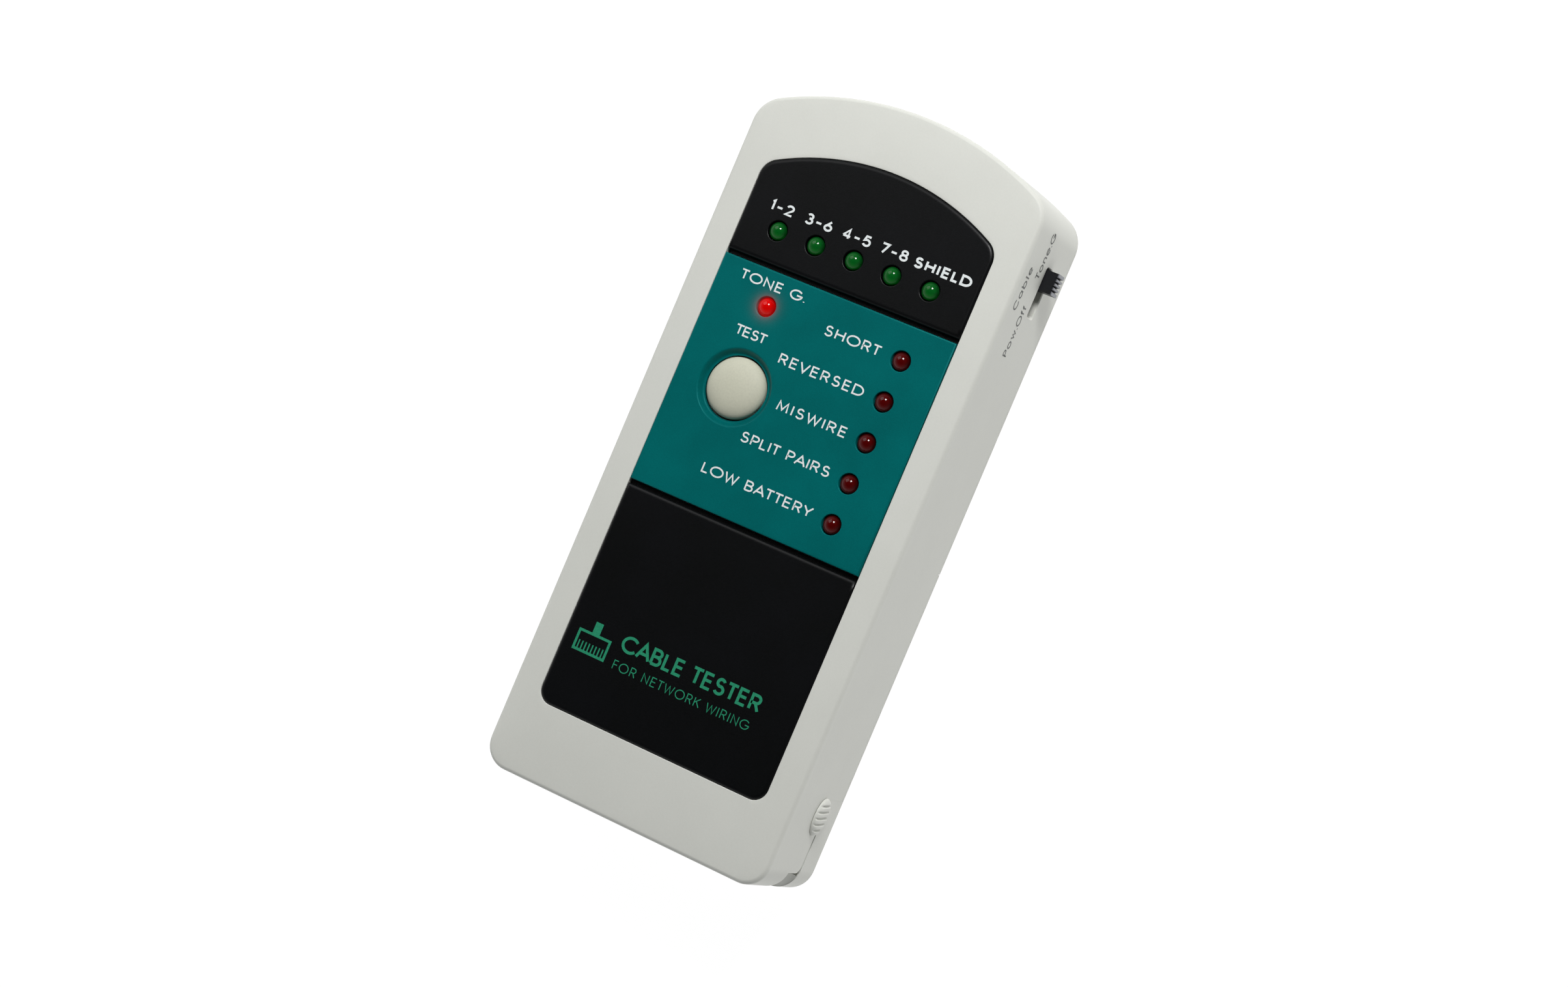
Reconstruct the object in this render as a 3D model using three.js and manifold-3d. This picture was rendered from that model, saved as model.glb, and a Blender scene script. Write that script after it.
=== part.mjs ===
// Handheld network cable tester, lying on its back. Millimetres, +Z up.
// X runs across the tester (its slide switch is on the +X side), Y runs along it towards the socket end,
// and Z rises from the back face to the display face. The origin is on the back face, at the middle of
// the length and width.
import * as THREE from "three";
import { mergeVertices } from "three/addons/utils/BufferGeometryUtils.js";
import Module from "manifold-3d";

const wasm = await Module();
wasm.setup();

// Housing
const halfWidth = 25;
const halfLength = 58;
const depth = 22;
const archRadius = 52; // plan radius of the socket end
const topCorner = 5;
const bottomCorner = 4;
const edgeRound = 2.2;
const wall = 1.8;
const gap = 0.3; // running and assembly clearance between pieces
const floorBottom = 19.2; // the front wall, which carries the face plates
const floorTop = 20.55;
const backThickness = 1.6;
const backParting = 2.4; // height where the back cover meets the front shell
const coverParting = 8; // height where the battery cover's grips meet the front shell
const coverEnd = -4.6; // Y where the battery cover meets the back cover
const gripEnd = -42.4; // Y where the battery cover's raised sides start
const fingerTop = 12.6; // height of the finger recess at the foot of the case
const fingerEnd = -54.5;

// Face plates
const panelHalfWidth = 20.1;
const panelApex = 48.2;
const panelBottom = -45.9;
const panelArch = 40.5;
const panelTopCorner = 3.1;
const panelBottomCorner = 2.3;
const plateBottom = 20.85;
const plateTop = 22.25;
const grooveFloor = 21.2;
const grooveWidth = 0.9;
const centreTop = 28.1;
const centreBottom = -9.3;

// Lamps and button
const lampRadius = 1.5;
const lampHole = 1.75;
const lampTop = 22.9;
const lampBase = 17.2;
const lampPitch = 6.6;
const pairRowX = -0.3;
const pairRowY = 33.9;
const faultX = 13;
const faultTopY = 22.6;
const toneLamp = [-10.4, 22.6];
const button = [-10.05, 9.5];
const buttonRadius = 4.8;
const buttonHole = 5.05;
const dishRadius = 6.2;
const buttonTop = 23.2;
const buttonBottom = 17.9;
const buttonTravel = 0.6;

// Circuit board
const boardBottom = 12;
const boardTop = 13.6;
const boardHalfWidth = 22.8;
const boardFoot = -5;
const boardHead = 46.9;
const jackNotch = 8.3;
const jackNotchY = 39.3;

// Slide switch
const slotFoot = 36.4;
const slotHead = 44.4;
const slotLow = 9.1;
const slotHigh = 11.9;
const knobY = 42.4; // at rest, in the tone position
const knobReach = 27.2;
const switchTravel = 4;

// Network socket
const socketPitch = 1.02;
const jackMouth = 57.1;

// Screws
const caseScrews = [[-13.6, 50.4], [13.6, 50.4], [-20, 1], [20, 1]];
const boardScrews = [[-19.4, 27], [19.4, 12]];

// Turns a closed geometry into a solid that can be joined and cut.
function solid(geometry) {
  const bare = new THREE.BufferGeometry();
  bare.setAttribute("position", geometry.getAttribute("position"));
  if (geometry.index) bare.setIndex(geometry.index);
  const merged = mergeVertices(bare, 1e-4);
  return new wasm.Manifold(
    new wasm.Mesh({
      numProp: 3,
      vertProperties: merged.getAttribute("position").array,
      triVerts: new Uint32Array(merged.index.array),
    }),
  );
}

function geometryOf(manifold) {
  const mesh = manifold.getMesh();
  const geometry = new THREE.BufferGeometry();
  geometry.setAttribute("position", new THREE.BufferAttribute(mesh.vertProperties, 3));
  geometry.setIndex(new THREE.BufferAttribute(mesh.triVerts, 1));
  return geometry;
}

function join(first, ...others) {
  return geometryOf(others.reduce((whole, piece) => whole.add(solid(piece)), solid(first)));
}

function cut(first, ...tools) {
  return geometryOf(tools.reduce((whole, tool) => whole.subtract(solid(tool)), solid(first)));
}

function common(first, second) {
  return geometryOf(solid(first).intersect(solid(second)));
}

function box(x0, x1, y0, y1, z0, z1) {
  const made = new THREE.BoxGeometry(x1 - x0, y1 - y0, z1 - z0);
  return made.translate((x0 + x1) / 2, (y0 + y1) / 2, (z0 + z1) / 2);
}

// A round bar standing along Z.
function rod(radius, x, y, z0, z1, sides = 16) {
  const made = new THREE.CylinderGeometry(radius, radius, z1 - z0, sides);
  return made.rotateX(Math.PI / 2).translate(x, y, (z0 + z1) / 2);
}

// A round bar lying along Y.
function barAlongY(radius, x, y0, y1, z, sides = 16) {
  return new THREE.CylinderGeometry(radius, radius, y1 - y0, sides).translate(x, (y0 + y1) / 2, z);
}

// A profile of [radius, height] points turned about an upright axis at x, y.
function turned(profile, x, y, sides = 16) {
  const points = profile.map(([radius, height]) => new THREE.Vector2(radius, height));
  return new THREE.LatheGeometry(points, sides).rotateX(Math.PI / 2).translate(x, y, 0);
}

function upright(shape, z0, z1, curveSegments = 4) {
  const made = new THREE.ExtrudeGeometry(shape, { depth: z1 - z0, bevelEnabled: false, curveSegments });
  return made.translate(0, 0, z0);
}

// Extrudes a shape drawn in Y and Z along X.
function sideways(shape, x0, x1, curveSegments = 4) {
  const made = new THREE.ExtrudeGeometry(shape, { depth: x1 - x0, bevelEnabled: false, curveSegments });
  const turn = new THREE.Matrix4().makeBasis(
    new THREE.Vector3(0, 1, 0),
    new THREE.Vector3(0, 0, 1),
    new THREE.Vector3(1, 0, 0),
  );
  return made.applyMatrix4(turn).translate(x0, 0, 0);
}

// A rectangle whose head is an arch and whose four corners are rounded.
function archedOutline(half, foot, apex, arch, headCorner, footCorner) {
  const archCentre = apex - arch;
  const cornerX = half - headCorner;
  const cornerY = archCentre + Math.sqrt((arch - headCorner) ** 2 - cornerX ** 2);
  const meeting = Math.atan2(cornerY - archCentre, cornerX);
  const shape = new THREE.Shape();
  shape.moveTo(-half + footCorner, foot);
  shape.absarc(half - footCorner, foot + footCorner, footCorner, -Math.PI / 2, 0, false);
  shape.absarc(cornerX, cornerY, headCorner, 0, meeting, false);
  shape.absarc(0, archCentre, arch, meeting, Math.PI - meeting, false);
  shape.absarc(-cornerX, cornerY, headCorner, Math.PI - meeting, Math.PI, false);
  shape.absarc(-half + footCorner, foot + footCorner, footCorner, Math.PI, Math.PI * 1.5, false);
  return shape;
}

// The case outline, moved inwards by inset.
function caseOutline(inset) {
  return archedOutline(
    halfWidth - inset,
    -halfLength + inset,
    halfLength - inset,
    archRadius - inset,
    topCorner - inset,
    bottomCorner - inset,
  );
}

// The face panel outline, grown by clearance.
function panelOutline(clearance) {
  return archedOutline(
    panelHalfWidth + clearance,
    panelBottom - clearance,
    panelApex + clearance,
    panelArch + clearance,
    panelTopCorner + clearance,
    panelBottomCorner + clearance,
  );
}

// The whole outer body of the case, with its front and back edges rounded.
function caseBody() {
  const made = new THREE.ExtrudeGeometry(caseOutline(0), {
    depth: depth - 2 * edgeRound,
    bevelThickness: edgeRound,
    bevelSize: edgeRound,
    bevelOffset: -edgeRound,
    bevelSegments: 3,
    curveSegments: 4,
  });
  return made.translate(0, 0, edgeRound);
}

const lampPlaces = [];
for (let i = 0; i < 5; i++) lampPlaces.push([pairRowX + (i - 2) * lampPitch, pairRowY]);
lampPlaces.push(toneLamp);
for (let i = 0; i < 5; i++) lampPlaces.push([faultX, faultTopY - i * lampPitch]);

// A hollow post with a pilot hole for a self-tapping screw, hanging from the front wall.
function post([x, y], z0) {
  return cut(rod(2.8, x, y, z0, floorBottom + 0.5), rod(1, x, y, z0 - 1, floorBottom - 0.8, 10));
}

// Tub that holds everything: front wall with the panel recess, side walls, posts and openings.
function frontShell() {
  const reach = 2 * halfLength;
  const body = cut(
    caseBody(),
    box(-reach, reach, -reach, reach, -1, backParting),
    upright(caseOutline(wall), 0, floorBottom),
    upright(panelOutline(0.15), floorTop, depth + 1),
    box(-reach, reach, -reach, gripEnd + 0.2, -1, coverParting + 0.2),
    box(-reach, reach, -reach, fingerEnd, -1, fingerTop),
    box(halfWidth - 3, halfWidth + 3, slotFoot, slotHead, slotLow, slotHigh),
    box(-jackNotch, jackNotch, halfLength - 8, halfLength + 2, 0, 15.5),
    rod(buttonHole, ...button, floorBottom - 1, depth, 24),
    ...lampPlaces.map(([x, y]) => rod(lampHole, x, y, floorBottom - 1, depth, 12)),
  );
  return join(
    body,
    ...caseScrews.map((place) => post(place, 4.3)),
    ...boardScrews.map((place) => post(place, boardTop + gap)),
  );
}

// Back half of the case above the battery, with sunk seats for the four case screws.
function backCover() {
  const reach = 2 * halfLength;
  const plate = common(caseBody(), box(-reach, reach, coverEnd + 0.15, reach, -1, backParting - 0.15));
  const sill = common(caseBody(), box(0.3 - jackNotch, jackNotch - 0.3, 50, reach, 1, 3));
  const hollow = cut(join(plate, sill), upright(caseOutline(wall), backThickness, depth));
  const seats = caseScrews.map(([x, y]) => rod(3.3, x, y, 0.5, 4, 20));
  const seated = cut(
    join(hollow, ...seats),
    ...caseScrews.flatMap(([x, y]) => [rod(2.3, x, y, -1, 2.2), rod(1.2, x, y, -1, 5, 12)]),
  );
  // The seats stay inside the wall line and clear of the battery cover.
  return common(seated, join(
    upright(caseOutline(0), -1, backParting - 0.15),
    upright(caseOutline(wall + gap), 0, 5),
    box(0.3 - jackNotch, jackNotch - 0.3, 50, reach, 0, 3),
  ));
}

// Oval thumb grip with five grooves, one on each side of the battery cover.
function gripPad(side) {
  const centreY = -45.2;
  const centreZ = 9.7;
  const face = halfWidth + 0.8;
  const oval = new THREE.Shape().absellipse(centreY, centreZ, 3.05, 2.5, 0, Math.PI * 2, false, 0);
  const inner = halfWidth + 0.15;
  const low = side > 0 ? inner : -face;
  const high = side > 0 ? face : -inner;
  const grooves = [];
  for (let i = -2; i <= 2; i++) {
    const y = centreY + i * 0.98;
    const outside = [side * (halfWidth + 0.45), side * (halfWidth + 2)].sort((a, b) => a - b);
    grooves.push(box(...outside, y - 0.17, y + 0.17, centreZ - 1.6, centreZ + 1.6));
  }
  const root = [side * (halfWidth - 0.9), side * (halfWidth + 0.5)].sort((a, b) => a - b);
  const pad = cut(sideways(oval, low, high, 8), ...grooves);
  return join(pad, box(...root, centreY - 2, centreY + 2, 6.6, coverParting - 0.15));
}

// Sliding cover behind the battery. Its foot is the end of the case, with raised sides and a finger lip.
function batteryCover() {
  const reach = 2 * halfLength;
  const plate = common(caseBody(), box(-reach, reach, -reach, coverEnd - 0.15, -1, backParting - 0.15));
  const foot = common(caseBody(), box(-reach, reach, -reach, gripEnd, -1, coverParting - 0.15));
  const tray = cut(join(plate, foot), upright(caseOutline(wall), backThickness, depth));
  const lipRoot = cut(upright(caseOutline(wall - 0.2), 4, coverParting - 0.3), upright(caseOutline(3), 0, depth));
  const lip = cut(upright(caseOutline(2.1), 4, fingerTop - gap), upright(caseOutline(3), 0, depth));
  const lipSpan = box(-reach, reach, -reach, fingerEnd + 2, 0, depth);
  const tongues = [-11, 11].flatMap((x) => [
    box(x - 3, x + 3, coverEnd - 2, coverEnd - 0.6, backThickness - 0.3, 2.5),
    box(x - 3, x + 3, coverEnd - 1, coverEnd + 2.2, backThickness + 0.3, 2.5),
  ]);
  return join(
    tray,
    common(lipRoot, lipSpan),
    common(lip, lipSpan),
    ...tongues,
    gripPad(1),
    gripPad(-1),
  );
}

// Face plates: the dark ones have a low step along the groove that frames the coloured one.
function upperFacePlate() {
  const edge = centreTop + grooveWidth;
  return cut(
    upright(panelOutline(0), plateBottom, plateTop),
    box(-30, 30, -60, centreTop + 0.15, 0, 30),
    box(-30, 30, centreTop, edge, grooveFloor, 30),
    ...lampPlaces.slice(0, 5).map(([x, y]) => rod(lampHole, x, y, 0, 30, 12)),
  );
}

function centreFacePlate() {
  const dish = [[0, grooveFloor - 0.3], [buttonHole, grooveFloor - 0.3], [dishRadius, plateTop], [dishRadius, 23], [0, 23]];
  return cut(
    box(-panelHalfWidth, panelHalfWidth, centreBottom, centreTop, plateBottom, plateTop),
    rod(buttonHole, ...button, 0, 30, 24),
    turned(dish, ...button, 24),
    ...lampPlaces.slice(5).map(([x, y]) => rod(lampHole, x, y, 0, 30, 12)),
  );
}

function lowerFacePlate() {
  const edge = centreBottom - grooveWidth;
  return cut(
    upright(panelOutline(0), plateBottom, plateTop),
    box(-30, 30, centreBottom - 0.15, 60, 0, 30),
    box(-30, 30, edge, centreBottom, grooveFloor, 30),
  );
}

// Domed key with a flange that keeps it behind the front wall.
function testButton() {
  const rim = buttonTop - 1.5;
  const profile = [[0, buttonBottom], [6, buttonBottom], [6, buttonBottom + 1]];
  profile.push([buttonRadius, buttonBottom + 1]);
  for (let i = 0; i <= 6; i++) {
    const angle = (i / 6) * (Math.PI / 2);
    profile.push([buttonRadius * Math.cos(angle), rim + 1.5 * Math.sin(angle)]);
  }
  profile[profile.length - 1][0] = 0;
  return turned(profile, ...button, 24);
}

// Push switch under the key: a square body with a well, and the plunger that slides in it.
function pushSwitch() {
  const [x, y] = button;
  return cut(box(x - 3, x + 3, y - 3, y + 3, boardTop + 0.1, 17), rod(1.95, x, y, 15.3, 18, 12));
}

function pushPlunger() {
  return rod(1.6, ...button, 15.4 + buttonTravel, buttonBottom - 0.2, 12);
}

// 3 mm lamp: flanged body with a round nose, and two square leads down through the board.
function lamp([x, y]) {
  const shoulder = lampTop - lampRadius;
  const profile = [[0, lampBase], [1.9, lampBase], [1.9, lampBase + 1], [lampRadius, lampBase + 1]];
  for (let i = 0; i <= 3; i++) {
    const angle = (i / 3) * (Math.PI / 2);
    profile.push([lampRadius * Math.cos(angle), shoulder + lampRadius * Math.sin(angle)]);
  }
  profile[profile.length - 1][0] = 0;
  const leads = [-1.27, 1.27].map((side) =>
    box(x + side - 0.25, x + side + 0.25, y - 0.25, y + 0.25, boardBottom - 1.2, lampBase + 0.3),
  );
  return join(turned(profile, x, y, 12), ...leads);
}

function contactTail(index) {
  return [(index - 3.5) * socketPitch, index % 2 ? 36.4 : 37.8];
}

// Circuit board with the socket's notch, relief for the lower screw posts, and lead holes.
function mainBoard() {
  const leadHoles = lampPlaces.flatMap(([x, y]) =>
    [-1.27, 1.27].map((side) => box(x + side - 0.5, x + side + 0.5, y - 0.5, y + 0.5, 11, 15)),
  );
  const tailHoles = [];
  for (let i = 0; i < 8; i++) {
    const [x, y] = contactTail(i);
    tailHoles.push(box(x - 0.4, x + 0.4, y - 0.4, y + 0.4, 11, 15));
  }
  return cut(
    box(-boardHalfWidth, boardHalfWidth, boardFoot, boardHead, boardBottom, boardTop),
    box(-jackNotch, jackNotch, jackNotchY, 60, 11, 15),
    ...caseScrews.slice(2).map(([x, y]) => rod(3.2, x, y, 11, 15, 20)),
    ...caseScrews.slice(2).map(([x, y]) => box(x > 0 ? x : -30, x > 0 ? 30 : x, y - 3.2, y + 3.2, 11, 15)),
    ...boardScrews.map(([x, y]) => rod(1.1, x, y, 11, 15, 12)),
    ...leadHoles,
    ...tailHoles,
  );
}

// Slide switch on the board's back, pushed from outside by the knob.
function slideSwitchBase() {
  return cut(box(15.8, 21.4, 34.4, 46.4, 7.6, 11.7), box(17, 22, 35.5, 45.3, 9.2, 11.3));
}

function slideSwitchFrame() {
  return cut(
    box(16, 21.95, 34, 46.8, 7.6, 11.7),
    box(15, 21.65, 34.3, 46.5, 7, 12),
    box(21, 23, 37, 43.8, 9.3, 11.4),
  );
}

function slideSwitchSlider() {
  return join(
    box(17.3, 21.3, knobY - 2.6, knobY + 2.6, 9.4, 11.1),
    box(21, 26.2, knobY - 1, knobY + 1, 9.7, 10.9),
  );
}

function slideKnob() {
  const ribs = [];
  for (let i = -1.5; i <= 1.5; i++) {
    const y = knobY + i * 0.7;
    ribs.push(box(knobReach - 0.4, knobReach + 1, y - 0.16, y + 0.16, 9, 12));
  }
  return cut(
    box(23.7, knobReach, knobY - 1.7, knobY + 1.7, slotLow + 0.15, slotHigh - 0.15),
    box(23, 26.35, knobY - 1.15, knobY + 1.15, 9.55, 11.05),
    ...ribs,
  );
}

// Eight-way network socket: moulded housing, metal screen around it, and spring contacts.
function jackHousing() {
  return cut(
    box(-7.5, 7.5, 40, 56.5, 3.8, 14.7),
    box(-5.95, 5.95, 42, 58, 6.3, 13.1),
    box(-3.1, 3.1, 42, 58, 4.6, 6.5),
    box(-4.2, 4.2, 39, 54.9, 13, 15),
  );
}

function jackShield() {
  return cut(
    box(-8, 8, 39.6, jackMouth, 3.3, 15.2),
    box(-7.7, 7.7, 39, jackMouth - 0.3, 3.6, 14.9),
    box(-6.1, 6.1, 50, 60, 4.4, 13.3),
  );
}

function jackContact(index) {
  const [x, tail] = contactTail(index);
  const shape = new THREE.Shape();
  shape.moveTo(tail - 0.17, 11);
  shape.lineTo(tail + 0.17, 11);
  shape.lineTo(tail + 0.17, 13.95);
  shape.lineTo(53.1, 13.95);
  shape.lineTo(46.8, 11.4);
  shape.lineTo(46.95, 11.05);
  shape.lineTo(54.5, 13.95);
  shape.lineTo(54.5, 14.3);
  shape.lineTo(tail - 0.17, 14.3);
  return sideways(shape, x - 0.2, x + 0.2);
}

// 9 V block battery and the moulded snap that takes its two posts.
function battery() {
  const shape = archedOutline(13.2, 2.8, 19, 1000, 2.2, 2.2);
  const block = new THREE.ExtrudeGeometry(shape, { depth: 46.2, bevelEnabled: false, curveSegments: 2 });
  block.rotateX(Math.PI / 2).translate(0, -8.3, 0);
  return join(block, barAlongY(2.9, -6.35, -8.5, -6.2, 10.9), barAlongY(4, 6.35, -8.5, -6.2, 10.9, 6));
}

function batterySnap() {
  return cut(
    box(-13, 13, -8, boardFoot - gap, 4.6, 16.6),
    barAlongY(3.3, -6.35, -9, -5.9, 10.9),
    barAlongY(4.5, 6.35, -9, -5.9, 10.9),
  );
}

// Short insulated lead from the snap up to the board.
function snapLead(x) {
  const route = new THREE.CatmullRomCurve3([
    new THREE.Vector3(x, boardFoot + 0.1, 7.6),
    new THREE.Vector3(x, -3.6, 7.3),
    new THREE.Vector3(x, -1.6, 7.9),
    new THREE.Vector3(x, -0.6, 9.6),
    new THREE.Vector3(x, -0.5, boardBottom - 0.3),
  ]);
  const section = new THREE.Shape().absarc(0, 0, 0.6, 0, Math.PI * 2, false);
  return new THREE.ExtrudeGeometry(section, { steps: 10, curveSegments: 4, extrudePath: route });
}

// Chip with two rows of legs, hanging under the board with its length along Y.
function chip(x, y0, legCount) {
  const pitch = 2.54;
  const length = legCount * pitch;
  const legs = [];
  for (let i = 0; i < legCount; i++) {
    const y = y0 + (i + 0.5) * pitch;
    for (const side of [-1, 1]) {
      const edges = [x + side * 3, x + side * 3.8].sort((a, b) => a - b);
      legs.push(box(...edges, y - 0.6, y + 0.6, 9.6, 10));
      const shin = [x + side * 3.5, x + side * 3.8].sort((a, b) => a - b);
      legs.push(box(...shin, y - 0.6, y + 0.6, 9.6, boardBottom - 0.2));
    }
  }
  return join(box(x - 3.2, x + 3.2, y0, y0 + length, 8.2, 11.3), ...legs);
}

function filterCapacitor() {
  return rod(2.5, 9.9, 28.6, 4.6, boardBottom - gap, 20);
}

function resistorArray() {
  return box(-15.8, -0.6, 27.9, 30.2, 6.8, boardBottom - gap);
}

function clockCrystal() {
  const can = new THREE.Shape();
  can.absarc(8.9, 10.4, 2, Math.PI, Math.PI * 2, false);
  can.absarc(8.9, 16.6, 2, 0, Math.PI, false);
  return upright(can, 8.2, boardBottom - gap);
}

// Pan-head screw pointing up, with a cross recess in its head.
function screw([x, y], headBottom, headTop, headRadius, shank, tip) {
  const profile = [[0, headBottom], [headRadius * 0.8, headBottom], [headRadius, headBottom + 0.4]];
  profile.push([headRadius, headTop], [shank, headTop], [shank, tip - 1], [0, tip]);
  return cut(
    turned(profile, x, y, 12),
    box(x - headRadius * 0.6, x + headRadius * 0.6, y - 0.25, y + 0.25, headBottom - 1, headBottom + 0.6),
    box(x - 0.25, x + 0.25, y - headRadius * 0.6, y + headRadius * 0.6, headBottom - 1, headBottom + 0.6),
  );
}

function finish(color, roughness, metalness = 0) {
  return new THREE.MeshStandardMaterial({ color, roughness, metalness });
}

const tester = new THREE.Group();

function add(name, geometry, material) {
  const mesh = new THREE.Mesh(geometry, material);
  mesh.name = name;
  tester.add(mesh);
}

const shellGrey = finish(0xcfd0ca, 0.6);
const plateBlack = finish(0x202226, 0.45);
const steel = finish(0xb8babd, 0.3, 1);
const tinned = finish(0xc9c6bd, 0.35, 1);
const mouldedBlack = finish(0x141416, 0.55);

add("front_shell", frontShell(), shellGrey);
add("back_cover", backCover(), shellGrey);
add("battery_cover", batteryCover(), shellGrey);
add("upper_face_plate", upperFacePlate(), plateBlack);
add("centre_face_plate", centreFacePlate(), finish(0x015b5b, 0.5));
add("lower_face_plate", lowerFacePlate(), plateBlack);
add("test_button", testButton(), finish(0xd6d5c2, 0.4));
add("push_plunger", pushPlunger(), mouldedBlack);
add("push_switch", pushSwitch(), mouldedBlack);
for (let i = 0; i < 5; i++) add(`pair_lamp_${i + 1}`, lamp(lampPlaces[i]), finish(0x0e5a2a, 0.2));
add("tone_lamp", lamp(toneLamp), finish(0xff1a10, 0.2));
for (let i = 0; i < 5; i++) add(`fault_lamp_${i + 1}`, lamp(lampPlaces[6 + i]), finish(0x5c0d10, 0.2));
add("main_board", mainBoard(), finish(0x1c5a33, 0.5));
add("slide_switch_base", slideSwitchBase(), finish(0x6b4a2c, 0.6));
add("slide_switch_frame", slideSwitchFrame(), steel);
add("slide_switch_slider", slideSwitchSlider(), mouldedBlack);
add("slide_knob", slideKnob(), mouldedBlack);
add("jack_housing", jackHousing(), mouldedBlack);
add("jack_shield", jackShield(), tinned);
for (let i = 0; i < 8; i++) add(`jack_contact_${i + 1}`, jackContact(i), finish(0xd2a640, 0.25, 1));
add("battery", battery(), finish(0x2c3340, 0.4));
add("battery_snap", batterySnap(), mouldedBlack);
add("snap_lead_plus", snapLead(8), finish(0xa81818, 0.5));
add("snap_lead_minus", snapLead(-8), mouldedBlack);
add("controller_chip", chip(0, 2.5, 9), mouldedBlack);
add("driver_chip", chip(-14, 7, 4), mouldedBlack);
add("filter_capacitor", filterCapacitor(), finish(0x1d3f8a, 0.4));
add("resistor_array", resistorArray(), finish(0x9a7a3a, 0.5));
add("clock_crystal", clockCrystal(), tinned);
for (let i = 0; i < 4; i++) add(`case_screw_${i + 1}`, screw(caseScrews[i], 0.8, 2.1, 2, 0.8, 11), steel);
for (let i = 0; i < 2; i++) add(`board_screw_${i + 1}`, screw(boardScrews[i], 10.5, 11.8, 1.9, 0.8, 18), steel);

export default tester;
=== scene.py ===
import math

import bmesh
import bpy
import numpy as np
from mathutils import Matrix, Vector
from mathutils.geometry import tessellate_polygon


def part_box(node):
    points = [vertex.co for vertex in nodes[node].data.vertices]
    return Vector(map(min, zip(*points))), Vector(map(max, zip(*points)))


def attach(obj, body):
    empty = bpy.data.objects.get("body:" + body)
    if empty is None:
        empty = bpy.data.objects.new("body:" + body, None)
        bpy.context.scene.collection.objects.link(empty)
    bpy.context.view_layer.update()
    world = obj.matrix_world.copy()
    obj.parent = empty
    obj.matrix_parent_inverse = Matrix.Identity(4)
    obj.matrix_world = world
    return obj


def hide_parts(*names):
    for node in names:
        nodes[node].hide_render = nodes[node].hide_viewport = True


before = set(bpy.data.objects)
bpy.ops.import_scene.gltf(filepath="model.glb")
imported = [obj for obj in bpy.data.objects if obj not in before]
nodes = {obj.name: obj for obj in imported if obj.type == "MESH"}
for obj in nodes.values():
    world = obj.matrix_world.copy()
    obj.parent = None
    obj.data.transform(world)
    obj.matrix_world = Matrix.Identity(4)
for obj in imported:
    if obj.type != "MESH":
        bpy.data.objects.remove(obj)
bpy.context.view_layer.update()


# ------------
# Camera. A 75 mm lens half a metre above the tester, leaning over its slide-switch side, with the
# socket end of the case turned up and to the right.
MM = 0.001
aim = Vector((4.05, -2.3, 22.0)) * MM
camera_distance = 487.5 * MM
towards_camera = Vector((0.3635, 0.0090, 0.9315)).normalized()
picture_up = Vector((-0.3674, 0.9203, 0.1344)).normalized()



def placed(name, data):
    """A new object with this data, put in the scene."""
    made = bpy.data.objects.new(name, data)
    bpy.context.scene.collection.objects.link(made)
    return made


camera = placed("camera", bpy.data.cameras.new("camera"))
camera.data.lens = 74.73
camera.data.sensor_width = 36
camera.data.clip_start = 0.01
across = picture_up.cross(towards_camera).normalized()
upward = towards_camera.cross(across)
turn = Matrix((across, upward, towards_camera)).transposed().to_4x4()
camera.matrix_world = Matrix.Translation(aim + towards_camera * camera_distance) @ turn
bpy.context.scene.camera = camera
bpy.context.scene.view_settings.view_transform = "Standard"


# ------------
# Studio. A white lit table under the tester, a small soft key light high past the socket end, a wide
# weak fill to its left, and a surround that is pale low down and dark overhead.
def srgb(text):
    """A hex colour such as 'cfd0ca' as linear RGBA: c/12.92 up to 0.04045, else ((c+0.055)/1.055)^2.4."""
    parts = [int(text[i:i + 2], 16) / 255 for i in (0, 2, 4)]
    return tuple(c / 12.92 if c <= 0.04045 else ((c + 0.055) / 1.055) ** 2.4 for c in parts) + (1.0,)


def add_node(tree, kind, inputs=None, **settings):
    """Adds a node with its settings. inputs maps a socket to a value, or to the output that feeds it."""
    node = tree.nodes.new(kind)
    for name, value in settings.items():
        setattr(node, name, value)
    for socket, value in (inputs or {}).items():
        if isinstance(value, bpy.types.NodeSocket):
            tree.links.new(value, node.inputs[socket])
        else:
            node.inputs[socket].default_value = value
    return node


def ranged(tree, value, start=0.0, end=1.0, low=0.0, high=1.0, **settings):
    """A value mapped from start to end onto low to high, and held inside them."""
    ends = {"Value": value, "From Min": start, "From Max": end, "To Min": low, "To Max": high}
    return add_node(tree, "ShaderNodeMapRange", ends, **settings).outputs[0]


def maths(tree, operation, first, second):
    """Two numbers put through one operation."""
    return add_node(tree, "ShaderNodeMath", {0: first, 1: second}, operation=operation).outputs[0]


def vectors(tree, operation, inputs, output=0):
    """One operation on vectors."""
    return add_node(tree, "ShaderNodeVectorMath", inputs, operation=operation).outputs[output]


def mixed(tree, share, first, second):
    """A colour on the way from first to second by share. Each is hex text or the output of a node."""
    first, second = (srgb(colour) if isinstance(colour, str) else colour for colour in (first, second))
    return add_node(tree, "ShaderNodeMix", {0: share, 6: first, 7: second}, data_type="RGBA").outputs[2]


def shader_of(material):
    """A material's node tree and its Principled shader."""
    return material.node_tree, material.node_tree.nodes["Principled BSDF"]


def feed(shader, **outputs):
    """Links outputs of nodes to the shader's sockets, with _ for a space in a name."""
    for socket, output in outputs.items():
        shader.id_data.links.new(output, shader.inputs[socket.replace("_", " ")])


def new_material(name, **sockets):
    """An empty Principled material. sockets are the shader's own values, with _ for a space in a name."""
    made = bpy.data.materials.new(name)
    made.use_nodes = True
    tree, shader = shader_of(made)
    for socket, value in sockets.items():
        shader.inputs[socket.replace("_", " ")].default_value = value
    return made, tree, shader


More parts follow.
